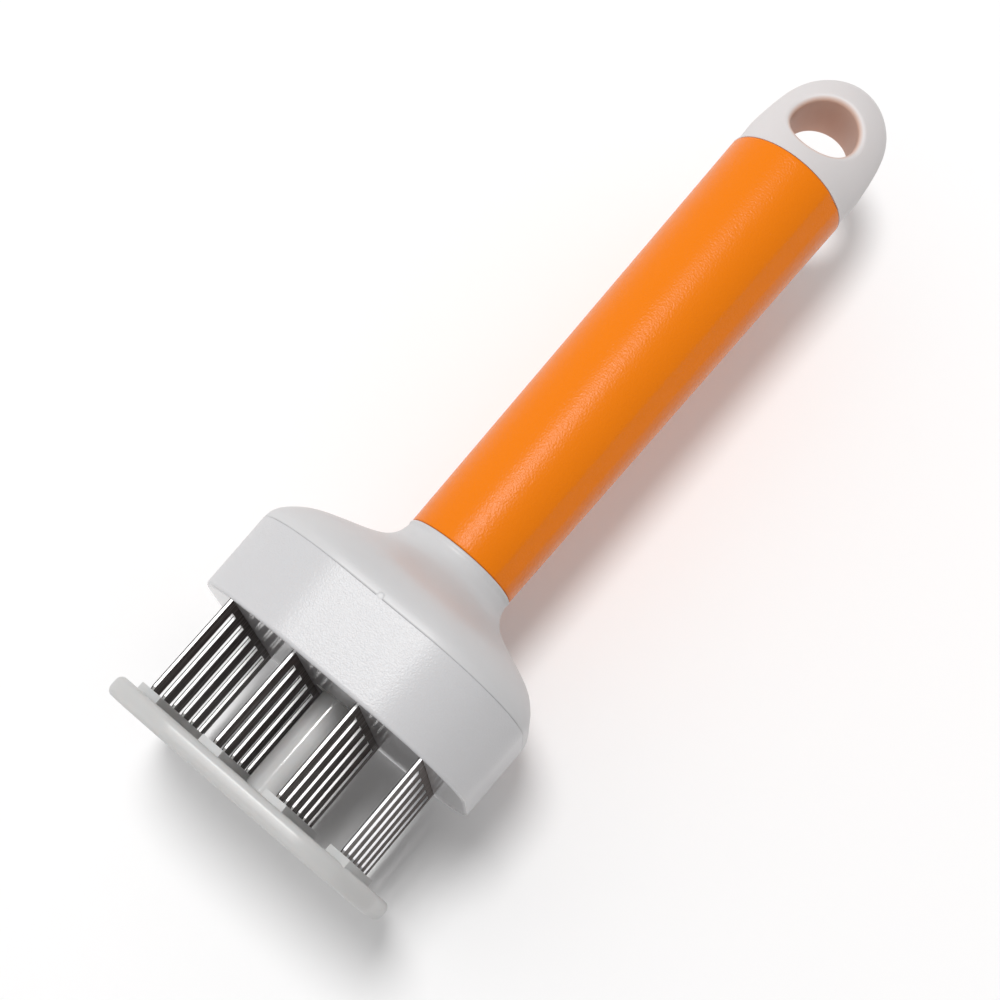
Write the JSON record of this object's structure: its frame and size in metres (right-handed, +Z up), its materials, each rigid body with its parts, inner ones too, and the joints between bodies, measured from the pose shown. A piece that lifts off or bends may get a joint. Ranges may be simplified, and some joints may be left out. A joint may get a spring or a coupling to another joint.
{
  "type": "blade meat tenderizer",
  "caption": "Hand-held press tool: a round orange grip over a square-shouldered head with rows of steel blade combs that pass through a sprung slotted plate.",
  "frame": {"origin": "centre of the press plate's underside, on the surface the tool stands on", "axes": "+Z up the handle towards the loop end, +Y along the blade rows and the hanging hole, +X across the rows"},
  "size_m": [0.0678, 0.07, 0.2064],
  "materials": {
    "white_plastic": "satin",
    "plate_plastic": "gloss",
    "orange_grip": "satin",
    "blade_steel": "polished",
    "fastener_steel": "satin",
    "bush_acetal": "matte"
  },
  "bodies": {
    "tool": {"guide_bush": "bush_acetal", "spring_seat": "fastener_steel", "return_spring": "fastener_steel", "blade_comb_1": "blade_steel", "blade_comb_2": "blade_steel", "blade_comb_3": "blade_steel", "blade_comb_4": "blade_steel", "blade_carrier": "white_plastic", "comb_clamp": "bush_acetal", "clamp_screws": "fastener_steel", "head_shell": "white_plastic", "grip_sleeve": "orange_grip", "loop_cap": "white_plastic"},
    "plunger": {"press_plate": "plate_plastic", "plunger_rod": "plate_plastic", "plate_screw": "fastener_steel", "stop_collar": "bush_acetal", "collar_clip": "fastener_steel"}
  },
  "joints": [
    {"name": "press_slide", "type": "slide", "parent": "tool", "child": "plunger", "axis": [0, 0, 1], "range_m": [0, 0.018], "stiffness_N_per_m": 600, "springref_m": -0.012, "deforming": ["return_spring"]}
  ]
}
